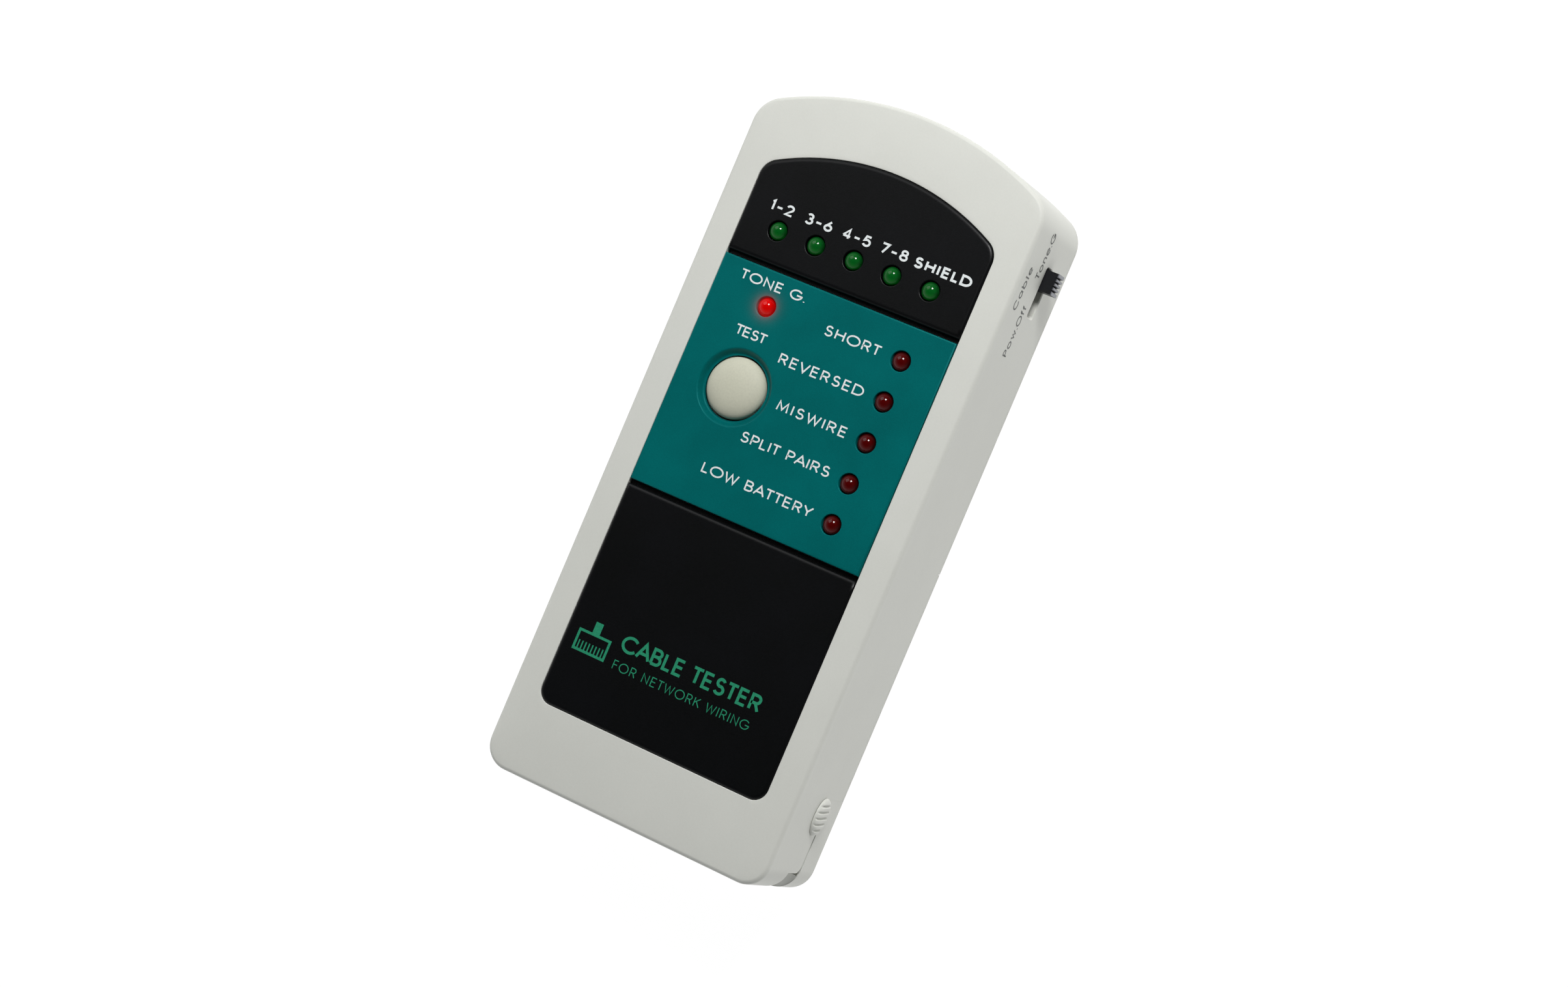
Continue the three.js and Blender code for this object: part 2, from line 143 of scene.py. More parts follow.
def area_light(name, place_mm, target_mm, size_mm, watts):
    """A square soft box at place_mm that faces target_mm."""
    lamp = bpy.data.lights.new(name, "AREA")
    lamp.size = size_mm * MM
    lamp.energy = watts
    place, target = Vector(place_mm) * MM, Vector(target_mm) * MM
    turn = (target - place).to_track_quat("-Z", "Y").to_matrix().to_4x4()
    placed(name, lamp).matrix_world = Matrix.Translation(place) @ turn


area_light("key_light", (125, 380, 455), (0, 10, 20), 150, 3.05)
area_light("fill_light", (-330, 345, 480), (0, 10, 20), 400, 0.95)

# The surround is pale round the sides, more so towards the foot and the left, and dark overhead, so flat
# satin faces stay deep.
surround = bpy.data.worlds.new("surround")
surround.use_nodes = True
sky = surround.node_tree
direction = add_node(sky, "ShaderNodeTexCoord").outputs["Generated"]
height = add_node(sky, "ShaderNodeSeparateXYZ", {0: direction}).outputs[2]
level = ranged(sky, height, low=0.45, high=0.0, interpolation_type="SMOOTHSTEP")
dark_side = (0.75, 0.66, 0)
towards = vectors(sky, "DOT_PRODUCT", {0: direction, 1: dark_side}, "Value")
sideways = ranged(sky, towards, start=-1.0, low=2.1, high=0.0)
backdrop = sky.nodes["Background"]
backdrop.inputs["Color"].default_value = srgb("f8fafc")
feed(backdrop, Strength=maths(sky, "MULTIPLY", level, sideways))
bpy.context.scene.world = surround

# The table lies a hair under the case, so that the two faces don't share one plane.
table_reach = 1600 * MM
table_top = -0.05 * MM
table_mesh = bpy.data.meshes.new("table")
corners = [(-1, -1), (1, -1), (1, 1), (-1, 1)]
points = [(x * table_reach, y * table_reach, table_top) for x, y in corners]
table_mesh.from_pydata(points, [], [(0, 1, 2, 3)])
table = placed("table", table_mesh)
white, tree, shader = new_material("light_table_opal", Roughness=0.8, Emission_Color=srgb("ffffff"),
                                   Emission_Strength=0.98)
cloudy = add_node(tree, "ShaderNodeTexNoise", {"Scale": 6.0})
feed(shader, Base_Color=mixed(tree, cloudy.outputs["Fac"], "404040", "4c4c4c"))
table_mesh.materials.append(white)


# ------------
# Front shell. A deep tub moulded in warm light grey ABS: a recess for the face plates, a border that
# falls a little to a soft outer edge, 1.8 mm walls, and posts inside for the screws.
case_low, case_high = (np.array(corner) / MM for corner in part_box("front_shell"))
HALF_WIDTH, HALF_LENGTH, FRONT = case_high
PARTING = case_low[2]
ARCH_RADIUS = 52.0
HEAD_CORNER = 5.0
FOOT_CORNER = 4.0
WALL = 1.8
FLOOR_TOP = 20.55
FLOOR_BOTTOM = 19.2
PANEL_ARCH = 40.5
PANEL_HEAD_CORNER = 3.1
PANEL_FOOT_CORNER = 2.3
plate_low, plate_high = (np.array(corner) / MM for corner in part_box("lower_face_plate"))
upper_high = np.array(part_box("upper_face_plate")[1]) / MM
PANEL_HALF = plate_high[0]
PANEL_FOOT = plate_low[1]
PANEL_APEX = upper_high[1]
PLATE_BOTTOM, PLATE_TOP = plate_low[2], plate_high[2]


def middle_of(node):
    """The middle of a CAD node's box, in millimetres."""
    low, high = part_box(node)
    return (np.array(low) + np.array(high)) / 2 / MM


def arched_path(half, foot, apex, arch, head_corner, foot_corner):
    """A closed outline: straight foot and sides, an arc of radius arch for a head, and rounded corners.
    The head corner's centre is head_corner inside both the side line and the arch. Every outline has the
    same number of points along each stretch, so two of them can be blended point by point."""
    arch_centre = apex - arch
    corner_x = half - head_corner
    corner_y = arch_centre + math.sqrt((arch - head_corner) ** 2 - corner_x ** 2)
    meeting = math.atan2(corner_y - arch_centre, corner_x)
    quarter = math.pi / 2
    foot_x, foot_y = half - foot_corner, foot + foot_corner

    def line(start, end, count):
        share = np.arange(count)[:, None] / count
        return np.array(start) * (1 - share) + np.array(end) * share

    def arc(centre, radius, start, end, count):
        angle = start + (end - start) * np.arange(count) / count
        return np.array(centre) + radius * np.stack([np.cos(angle), np.sin(angle)], 1)

    return np.concatenate([
        line((-foot_x, foot), (foot_x, foot), 16),
        arc((foot_x, foot_y), foot_corner, -quarter, 0, 12),
        line((half, foot_y), (half, corner_y), 40),
        arc((corner_x, corner_y), head_corner, 0, meeting, 12),
        arc((0, arch_centre), arch, meeting, math.pi - meeting, 48),
        arc((-corner_x, corner_y), head_corner, math.pi - meeting, math.pi, 12),
        line((-half, corner_y), (-half, foot_y), 40),
        arc((-foot_x, foot_y), foot_corner, math.pi, math.pi + quarter, 12),
    ])


def case_path(inset):
    """The case outline moved in by inset."""
    return arched_path(HALF_WIDTH - inset, inset - HALF_LENGTH, HALF_LENGTH - inset,
                       ARCH_RADIUS - inset, HEAD_CORNER - inset, FOOT_CORNER - inset)


def panel_path(grow):
    """The face panel's outline moved out by grow."""
    return arched_path(PANEL_HALF + grow, PANEL_FOOT - grow, PANEL_APEX + grow,
                       PANEL_ARCH + grow, PANEL_HEAD_CORNER + grow, PANEL_FOOT_CORNER + grow)


def circle_path(centre, radius, sides):
    """A circle as a closed outline."""
    angle = np.arange(sides) * 2 * math.pi / sides
    return np.array(centre[:2]) + radius * np.stack([np.cos(angle), np.sin(angle)], 1)


def ring(path, height):
    """An outline lifted to a height."""
    return np.column_stack([path, np.full(len(path), float(height))])


def skin(rings, loop=False):
    """Quads between neighbouring closed rings, each with the same number of points. loop joins the last
    ring to the first. Returns (points, faces)."""
    rings = np.array(rings)
    rows, count = rings.shape[:2]
    i, j = np.meshgrid(np.arange(rows if loop else rows - 1), np.arange(count), indexing="ij")
    after_i, after_j = (i + 1) % rows, (j + 1) % count
    corners = [i * count + j, i * count + after_j, after_i * count + after_j, after_i * count + j]
    return rings.reshape(-1, 3), np.stack(corners, -1).reshape(-1, 4).tolist()


def capped(rings):
    """A block skinned over its rings, with one flat face at each end. Returns (points, faces)."""
    points, faces = skin(rings)
    count = len(rings[0])
    return points, faces + [list(range(count)), list(range(len(points) - count, len(points)))]


def pierced_block(outer_rings, hole_rings):
    """A block bounded by rising outer rings and pierced by rising hole rings. Each end is filled with
    triangles between its rings. Returns (points, faces)."""
    walls = [outer_rings, *hole_rings]
    points, faces, starts, ends, total = [], [], [], [], 0
    for rings in walls:
        made_points, made_faces = skin(rings)
        faces += [[k + total for k in f] for f in made_faces]
        points.append(made_points)
        starts.append(total)
        total += len(made_points)
        ends.append(total - len(rings[0]))
    for level, firsts in ((0, starts), (-1, ends)):
        edges = [rings[level] for rings in walls]
        numbers = np.concatenate([np.arange(len(edge)) + first for edge, first in zip(edges, firsts)])
        triangles = tessellate_polygon([[Vector((x, y, 0)) for x, y, _ in edge] for edge in edges])
        faces += [[int(numbers[k]) for k in corners] for corners in triangles]
    return np.concatenate(points), faces


def turned(profile, centre, sides=32, loop=False):
    """A profile of (radius, height) points turned about an upright axis. Radius 0 at an end closes it in
    one pole; loop joins the last point to the first instead."""
    body = [p for p in profile if p[0] > 0]
    rings = [ring(circle_path(centre, r, sides), z) for r, z in body]
    points, faces = skin(rings, loop)
    for end, first in ((0, 0), (-1, (len(body) - 1) * sides)):
        if not loop and profile[end][0] == 0:
            points = np.vstack([points, [centre[0], centre[1], profile[end][1]]])
            pole = len(points) - 1
            faces += [[first + k, first + (k + 1) % sides, pole] for k in range(sides)]
    return points, faces


def box_block(x0, x1, y0, y1, z0, z1):
    """A plain block, used as a cutter or a small hidden rib."""
    path = np.array([(x0, y0), (x1, y0), (x1, y1), (x0, y1)], float)
    return capped([ring(path, z0), ring(path, z1)])


def make_mesh(name, parts, materials):
    """One mesh in metres from (points in mm, faces, material number) parts, normals turned outwards."""
    points, faces, slots, total = [], [], [], 0
    for part in parts:
        points.append(part[0])
        faces += [[k + total for k in f] for f in part[1]]
        slots += [part[2] if len(part) > 2 else 0] * len(part[1])
        total += len(part[0])
    mesh = bpy.data.meshes.new(name)
    mesh.from_pydata((np.concatenate(points) * MM).tolist(), [], faces)
    for material in materials:
        mesh.materials.append(material)
    mesh.polygons.foreach_set("material_index", slots)
    work = bmesh.new()
    work.from_mesh(mesh)
    bmesh.ops.recalc_face_normals(work, faces=work.faces)
    work.to_mesh(mesh)
    work.free()
    return mesh


def soften(mesh, sharp_degrees):
    """Smooth shading, broken where two faces meet at more than sharp_degrees."""
    mesh.polygons.foreach_set("use_smooth", [True] * len(mesh.polygons))
    mesh.set_sharp_from_angle(angle=math.radians(sharp_degrees))
    mesh.update()


def make_piece(name, body, parts, materials, replaces=(), sharp=35, cutters=()):
    """Puts a piece in the scene: its mesh with its materials, cut by each cutter in turn, hung on its body,
    and the nodes it stands for hidden. A cutter is a list of parts that don't touch."""
    piece = placed(name, make_mesh(name, parts, materials))
    for cutter in cutters:
        tool = placed("tool", make_mesh("tool", cutter, []))
        carve = piece.modifiers.new("carve", "BOOLEAN")
        carve.operation, carve.solver, carve.object = "DIFFERENCE", "EXACT", tool
        graph = bpy.context.evaluated_depsgraph_get()
        carved = bpy.data.meshes.new_from_object(piece.evaluated_get(graph))
        piece.modifiers.clear()
        piece.data = carved
        bpy.data.objects.remove(tool)
    soften(piece.data, sharp)
    even = piece.modifiers.new("even_shading", "WEIGHTED_NORMAL")
    even.keep_sharp = True
    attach(piece, body)
    if replaces:
        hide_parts(*replaces)
    return piece


def object_place(tree):
    """Each point's place on its own piece, in metres."""
    return add_node(tree, "ShaderNodeTexCoord").outputs["Object"]


def noise(tree, place, **sockets):
    """A cloudy pattern from 0 to 1 over place. sockets are the noise node's own values."""
    return add_node(tree, "ShaderNodeTexNoise", {"Vector": place, **sockets}).outputs["Fac"]


def relief(tree, height, depth_mm):
    """Surface normals that follow height, as if it stood depth_mm proud."""
    return add_node(tree, "ShaderNodeBump", {"Height": height, "Distance": depth_mm * MM}).outputs[0]


def moulded_plastic(name, colour, shadow, roughness, grain_mm, depth_mm, blotch_mm=9.0, specular=0.5):
    """Injection-moulded plastic from a spark-eroded mould: an even body colour with faint cloudy flow
    shade, and a fine pebbled skin of the given grain width and depth that breaks up the highlight."""
    made, tree, shader = new_material(name, IOR=1.5, Specular_IOR_Level=specular)
    in_mm = vectors(tree, "SCALE", {0: object_place(tree), 3: 1 / MM})
    cloud = noise(tree, in_mm, Scale=1 / blotch_mm, Detail=3.0)
    grain = noise(tree, in_mm, Scale=1 / grain_mm, Detail=4.0, Roughness=0.6)
    share = ranged(tree, maths(tree, "ADD", cloud, grain), 0.7, 1.3)
    feed(shader, Base_Color=mixed(tree, share, shadow, colour),
         Roughness=ranged(tree, grain, low=roughness - 0.06, high=roughness + 0.06),
         Normal=relief(tree, grain, depth_mm))
    return made


# ABS, moulded, fine matt spark grain: warm light grey, soft and even, with no clear reflection.
case_abs = moulded_plastic("case_abs_moulded_matt", "d3d4cd", "cfd0c9", 0.55, 0.3, 0.006)

border_drop = 0.3
edge_radius = 0.8
first_slope = math.radians(9)
recess_gap = 0.08
lip_radius = 0.12

front_rings = [ring(panel_path(recess_gap), FLOOR_TOP), ring(panel_path(recess_gap), FRONT - lip_radius)]
for angle in np.radians([30, 60, 90]):
    front_rings.append(ring(panel_path(recess_gap + lip_radius * (1 - math.cos(angle))),
                            FRONT - lip_radius + lip_radius * math.sin(angle)))
border_inner = panel_path(recess_gap + lip_radius)
border_outer = case_path(edge_radius * (1 - math.sin(first_slope)))
for share in np.linspace(0.06, 1, 12):
    front_rings.append(ring(border_inner * (1 - share) + border_outer * share,
                            FRONT - border_drop * share ** 2))
edge_centre = FRONT - border_drop - edge_radius * math.cos(first_slope)
for angle in np.linspace(first_slope, math.pi / 2, 10)[1:]:
    front_rings.append(ring(case_path(edge_radius * (1 - math.sin(angle))),
                            edge_centre + edge_radius * math.cos(angle)))
front_rings += [ring(case_path(0), z) for z in np.linspace(edge_centre, PARTING + 0.04, 6)[1:]]
front_rings += [ring(case_path(inset), z)
                for inset, z in ((0.04, PARTING), (WALL, PARTING), (WALL, FLOOR_BOTTOM))]

pair_lamps = [f"pair_lamp_{i}" for i in range(1, 6)]
fault_lamps = [f"fault_lamp_{i}" for i in range(1, 6)]
all_lamps = [*pair_lamps, "tone_lamp", *fault_lamps]
key_centre = middle_of("test_button")
lamp_bore = 1.75
key_hole = 5.05
floor_holes = []
for centre, r, sides in [(middle_of(n), lamp_bore, 24) for n in all_lamps] + [(key_centre, key_hole, 64)]:
    low, high = FLOOR_BOTTOM - 1, FLOOR_TOP + 0.5
    floor_holes.append(turned([(0, low), (r, low), (r, high), (0, high)], centre, sides))

case_screws = [f"case_screw_{i}" for i in range(1, 5)]
board_screws = [f"board_screw_{i}" for i in (1, 2)]
posts = []
post_bore, post_radius = 1.0, 2.8
for names, low in ((case_screws, 4.3), (board_screws, 13.9)):
    profile = [(post_bore, low), (post_radius, low), (post_radius, FLOOR_BOTTOM), (post_bore, FLOOR_BOTTOM)]
    posts += [turned(profile, middle_of(name), 24, loop=True) for name in names]


def foot_step(y_side, y_finger, z_side, z_finger, corner=1.6):
    """The stepped space under the foot of the front shell, as a slab cut right across the case: up to
    z_side from the grips' top end, and up to z_finger behind the finger recess, whose corner is rounded."""
    outline = [(-70, -5), (y_side, -5), (y_side, z_side)]
    for angle in np.radians([270, 255, 240, 225, 210, 195, 180]):
        outline.append((y_finger + corner * (1 + math.cos(angle)), z_side + corner * (1 + math.sin(angle))))
    outline += [(y_finger, z_finger), (-70, z_finger)]
    return capped([np.array([(x, y, z) for y, z in outline]) for x in (-40.0, 40.0)])


GRIP_HEAD = -42.35
FINGER_HEAD = -54.5
FINGER_TOP = 12.6
SIDE_PARTING = 8.05
slot_low = np.array((36.4, 9.1))
slot_high = np.array((44.4, 11.9))


def slot_cutter(corner=0.5, flare=0.15):
    """The slide switch's slot: a slab with round corners along X, flared at the wall's face."""
    middle, half = (slot_low + slot_high) / 2, (slot_high - slot_low) / 2
    rings = []
    for x, wider in ((HALF_WIDTH - 4, 0), (HALF_WIDTH - flare, 0), (HALF_WIDTH + 0.01, flare),
                     (HALF_WIDTH + 2, flare)):
        circle = circle_path((0, 0), corner + wider, 32)
        path = np.concatenate([
            circle[k * 8:k * 8 + 9] + np.array(signs) * (half - corner)
            for k, signs in enumerate(((1, 1), (-1, 1), (-1, -1), (1, -1)))
        ])
        rings.append(np.column_stack([np.full(len(path), x), path + middle]))
    return capped(rings)


def swept_round_foot(y_limit, profile):
    """A profile of (inset, height) points swept along the case outline round the foot, below y_limit."""
    keep = case_path(0)[:, 1] < y_limit
    order = np.roll(np.arange(len(keep)), len(keep) // 2)
    order = order[keep[order]]
    return capped(np.stack([ring(case_path(inset)[order], z) for inset, z in profile], 1))


def seam_groove(side):
    """The shadow groove along one side between grip and finger recess: undercut below the shell's edge,
    then sloping out to the cover's rounded shoulder."""
    profile = [(-0.3, -0.72), (-0.3, 0.05), (0.4, 0.05), (0.4, -0.12)]
    return capped([np.array([(side * (HALF_WIDTH - inset), y, SIDE_PARTING + z) for inset, z in profile])
                   for y in (-54.6, -47.2)])


seam_grooves = [seam_groove(1), seam_groove(-1)]
socket_mouth = box_block(-8.3, 8.3, HALF_LENGTH - 8, HALF_LENGTH + 2, 0, 15.5)
make_piece(
    "front_shell_moulding", "case", [capped(front_rings)], [case_abs], ["front_shell"],
    cutters=[floor_holes, [foot_step(GRIP_HEAD, FINGER_HEAD, SIDE_PARTING, FINGER_TOP)], [slot_cutter()],
             seam_grooves, [socket_mouth]],
)
make_piece("screw_posts", "case", posts, [case_abs])


# ------------
# Back cover and battery cover. Two mouldings of the same grey ABS that share the rounded back edge of
# the case. The battery cover's foot rises at the sides, with an oval grip on each and a finger lip.
BACK_ROUND = 2.2
BACK_THICK = 1.6
TRAY_TOP = 7.97


def back_tray():
    """The back of the case as a tray: flat base, quarter-round edge of radius 2.2, upright wall."""
    rings = [ring(case_path(BACK_ROUND * (1 - math.sin(a))), BACK_ROUND * (1 - math.cos(a)))
             for a in np.linspace(0, math.pi / 2, 9)]
    rings += [ring(case_path(inset), z) for inset, z in ((0, TRAY_TOP - 0.1), (0.1, TRAY_TOP),
                                                         (WALL, TRAY_TOP), (WALL, BACK_THICK))]
    return capped(rings)


cover_joint = -4.6
joint_gap = 0.06
plate_rim = PARTING - 0.04
# Each screw sits on a seat: a counterbore for its head, and under that a through hole for its shank.
head_bore, shank_bore, seat_radius = 2.3, 1.2, 3.2
seat_floor, seat_top = 2.2, 4.0
tool_profile = [(0, -1), (head_bore + 0.25, -1), (head_bore + 0.25, 0), (head_bore, 0.25),
                (head_bore, seat_floor), (shank_bore, seat_floor), (shank_bore, 2.9), (0, 2.9)]
seat_profile = [(head_bore, BACK_THICK), (seat_radius, BACK_THICK), (seat_radius, seat_top),
                (shank_bore, seat_top), (shank_bore, seat_floor), (head_bore, seat_floor)]
seat_tools = [turned(tool_profile, middle_of(name)) for name in case_screws]
seats = [turned(seat_profile, middle_of(name), loop=True) for name in case_screws]
sill = box_block(-8.0, 8.0, HALF_LENGTH - 1.9, HALF_LENGTH - 0.75, BACK_THICK, 3.0)
make_piece(
    "back_cover_moulding", "case", [back_tray()], [case_abs], ["back_cover"],
    cutters=[[box_block(-40, 40, -70, cover_joint + joint_gap, -5, 20)],
             [box_block(-40, 40, cover_joint, 70, plate_rim, 20)], seat_tools],
)
make_piece("back_cover_seats", "case", [*seats, sill], [case_abs])


def grip_pad(side):
    """An oval pad on a side wall. Across the oval (rho from 0 to 1) it stands rise sqrt(1 - rho^5) high,
    less five round-edged grooves that lean 6 degrees and fade at the rim."""
    middle, half, rise = (-45.2, 9.7), (3.05, 2.5), 0.75
    groove_pitch, groove_half, groove_depth, lean, rim = 0.98, 0.3, 0.34, 0.1, 0.25
    sunk = 0.05
    u, v = np.meshgrid(np.linspace(-1, 1, 161), np.linspace(-1, 1, 61), indexing="ij")
    disc_y, disc_z = u * np.sqrt(1 - v ** 2 / 2), v * np.sqrt(1 - u ** 2 / 2)
    y, z = middle[0] + half[0] * disc_y, middle[1] + half[1] * disc_z
    rho = np.clip(np.hypot(disc_y, disc_z), 0, 1)
    height = rise * np.sqrt(np.clip(1 - rho ** 5, 0, 1))
    leaning = (y - middle[0] + lean * (z - middle[1])) / groove_pitch
    away = np.abs(leaning - np.clip(np.round(leaning), -2, 2)) * groove_pitch
    across = np.cos(np.clip(away / groove_half, 0, 1) * math.pi / 2) ** 2
    height = height - groove_depth * across * np.clip((1 - rho) / rim, 0, 1)
    x = HALF_WIDTH + 0.06 + height
    top = np.stack([side * x, y, z], -1)
    base = np.stack([np.full_like(x, side * (HALF_WIDTH + sunk)), y, z], -1)
    points = np.concatenate([top.reshape(-1, 3), base.reshape(-1, 3)])
    index = np.arange(x.size).reshape(x.shape)
    quad = np.stack([index[:-1, :-1], index[1:, :-1], index[1:, 1:], index[:-1, 1:]], -1)
    faces = quad.reshape(-1, 4).tolist() + (quad[..., ::-1] + x.size).reshape(-1, 4).tolist()
    edge = np.concatenate([index[:-1, 0], index[-1, :-1], index[:0:-1, -1], index[0, :0:-1]])
    faces += np.stack([edge, np.roll(edge, -1), np.roll(edge, -1) + x.size, edge + x.size], -1).tolist()
    return points, faces


# The lip rises from inside the cover's wall and closes the foot of the case behind the finger recess.
LIP = [(WALL + 0.02, 4.0), (WALL + 0.02, TRAY_TOP - 0.3), (2.1, TRAY_TOP), (2.1, 12.1),
       (2.3, 12.25), (3.0, 12.25), (3.0, 4.0)]
pad_reach = [(HALF_WIDTH - 0.6, HALF_WIDTH + 0.1), (-HALF_WIDTH - 0.1, 0.6 - HALF_WIDTH)]
pad_roots = [box_block(inner, outer, -47.4, -43.0, 7.0, 7.8) for inner, outer in pad_reach]
# Two tongues reach under the back cover; each stands on a root that joins it to the cover's floor.
spans = [(-14, -8), (8, 14)]
tongues = [box_block(*span, cover_joint - 1.4, cover_joint + 2.2, 1.9, 2.5) for span in spans]
roots = [box_block(*span, cover_joint - 2, cover_joint - 0.7, BACK_THICK - 0.2, 2.4) for span in spans]
make_piece(
    "battery_cover_moulding", "cover", [back_tray()], [case_abs], ["battery_cover"],
    cutters=[[box_block(-40, 40, cover_joint - joint_gap, 70, -5, 20)],
             [box_block(-40, 40, GRIP_HEAD - 0.01, cover_joint, plate_rim, 20)],
             seam_grooves],
)
# The finger recess is a scoop: its floor climbs from the side wall in to the lip.
SCOOP = [(2.2, TRAY_TOP - 0.2), (0.12, TRAY_TOP - 0.2), (0.12, TRAY_TOP + 0.02), (0.7, 8.7), (1.4, 10.2),
         (2.2, 12.1)]
make_piece("battery_cover_lip", "cover",
           [swept_round_foot(-52.5, LIP), swept_round_foot(-54.55, SCOOP), *tongues, *roots], [case_abs])
make_piece("battery_cover_grips", "cover", [grip_pad(1), grip_pad(-1), *pad_roots], [case_abs],
           sharp=60)


# ------------
# Face plates. Three separate mouldings drop into the front recess: satin black above and below, and a
# matt teal one between them with a dish round the test key. Dark grooves frame the teal.
def inset_loop(path, distance):
    """Moves each edge of a closed outline in by distance: a point moves along the sum of its two edge
    normals over one plus their dot product."""
    before, after = path - np.roll(path, 1, 0), np.roll(path, -1, 0) - path
    normals = []
    for step in (before, after):
        length = np.linalg.norm(step, axis=1, keepdims=True)
        normals.append(np.stack([-step[:, 1], step[:, 0]], 1) / np.maximum(length, 1e-9))
    dot = (normals[0] * normals[1]).sum(1, keepdims=True)
    return path + distance * (normals[0] + normals[1]) / (1 + dot)


def rounded_levels(path, low, high, width, drop, steps):
    """Rings of a block whose top edge is a quarter ellipse: the inset is width times one less the cosine,
    and the height is high less drop times one less the sine."""
    rings = [ring(path, low)]
    for angle in np.linspace(0, math.pi / 2, steps):
        inset, fall = width * (1 - math.cos(angle)), drop * (1 - math.sin(angle))
        rings.append(ring(inset_loop(path, inset), high - fall))
    rings.append(ring(inset_loop(path, width + 0.1), high))
    return rings


def clipped(path, y, above):
    """The part of a closed outline above or below y, closed by a straight edge along y."""
    keep = path[:, 1] > y if above else path[:, 1] < y
    start = int(np.argmax(keep & ~np.roll(keep, 1)))
    kept = np.roll(path, -start, 0)[:int(keep.sum())]
    ends = np.array([(kept[0][0], y), (kept[-1][0], y)])
    return np.vstack([ends[:1], kept, ends[1:]])


def lamp_hole(node, radius=1.6):
    """A lamp's hole in a plate, with a 0.1 mm broken edge at the top."""
    return [ring(circle_path(middle_of(node), radius + wider, 48), z)
            for wider, z in ((0, PLATE_BOTTOM), (0, PLATE_TOP - 0.1), (0.03, PLATE_TOP - 0.03),
                             (0.1, PLATE_TOP), (0.16, PLATE_TOP))]


# ABS, moulded, satin with a fine grain: charcoal black whose edges catch a dull grey light.
plate_black = moulded_plastic("plate_abs_satin_black", "06070a", "020303", 0.38, 0.22, 0.012, specular=0.22)
# ABS, moulded in colour, fine matt grain: deep teal with a faint speckle.
plate_teal = moulded_plastic("plate_abs_matt_teal", "006363", "005656", 0.42, 0.22, 0.010, specular=0.24)

centre_low, centre_high = (np.array(corner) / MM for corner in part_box("centre_face_plate"))
groove = 0.75
groove_floor = 21.2
groove_gap = 0.12
panel_rim = panel_path(0)


def black_plate(path, holes, step_low, step_high):
    """A black plate with a rounded edge, and the step under it that is the floor of its groove."""
    levels = rounded_levels(path, PLATE_BOTTOM, PLATE_TOP, 0.6, 0.36, 9)
    plate = pierced_block(levels, holes) if holes else capped(levels)
    step_half = PANEL_HALF - 0.05
    return [plate, box_block(-step_half, step_half, step_low, step_high, PLATE_BOTTOM, groove_floor)]


upper_line = centre_high[1] + groove
upper_parts = black_plate(clipped(panel_rim, upper_line, True), [lamp_hole(n) for n in pair_lamps],
                          centre_high[1] + groove_gap, upper_line + 0.4)
make_piece("upper_plate", "case", upper_parts, [plate_black], ["upper_face_plate"], sharp=50)
lower_line = centre_low[1] - groove
lower_parts = black_plate(clipped(panel_rim, lower_line, False), [],
                          lower_line - 0.4, centre_low[1] - groove_gap)
make_piece("lower_plate", "case", lower_parts, [plate_black], ["lower_face_plate"], sharp=50)

# The dish runs from the key's hole to a soft rim: its height follows a smooth step across its slope.
dish_depth = 0.95
slope_start, slope_width = 5.25, 0.9
dish = [(key_hole, PLATE_BOTTOM)]
for radius in [*np.linspace(key_hole, 6.3, 16), 6.4]:
    share = np.clip((radius - slope_start) / slope_width, 0, 1)
    dish.append((radius, PLATE_TOP - dish_depth * (1 - share ** 2 * (3 - 2 * share))))
dish_rings = [ring(circle_path(key_centre, r, 96), z) for r, z in dish]
centre_path = np.array([(-PANEL_HALF, centre_low[1]), (PANEL_HALF, centre_low[1]),
                        (PANEL_HALF, centre_high[1]), (-PANEL_HALF, centre_high[1])])
centre_plate = pierced_block(rounded_levels(centre_path, PLATE_BOTTOM, PLATE_TOP, 0.25, 0.25, 4),
                             [*[lamp_hole(n) for n in ["tone_lamp", *fault_lamps]], dish_rings])

# A painted glow: the teal plate itself emits red round the lit lamp, falling to a ninth with each
# millimetre from the lamp's axis.
painted_glow_at_axis = (4.3, 0.28, 0.3)
left_per_mm = 0.111
tree, shader = shader_of(plate_teal)
offset = vectors(tree, "SUBTRACT", {0: object_place(tree), 1: Vector(middle_of("tone_lamp")) * MM})
flat_mm = vectors(tree, "MULTIPLY", {0: offset, 1: (1 / MM, 1 / MM, 0)})
fall = maths(tree, "POWER", left_per_mm, vectors(tree, "LENGTH", {0: flat_mm}, "Value"))
feed(shader, Emission_Color=vectors(tree, "SCALE", {0: painted_glow_at_axis, 3: fall}))
shader.inputs["Emission Strength"].default_value = 1.0
shader.inputs["Specular Tint"].default_value = srgb("6cffff")
make_piece("centre_plate", "case", [centre_plate], [plate_teal], ["centre_face_plate"],
           sharp=50)


# ------------
# Lamps. Eleven 3 mm epoxy lamps stand through the plates: five green for the wire pairs, one red for
# the tone, lit, and five red for faults. Each is a flanged body with a round nose on two tinned leads.
LAMP_RADIUS = 1.52
LAMP_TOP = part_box("tone_lamp")[1].z / MM
LAMP_BASE = 17.2


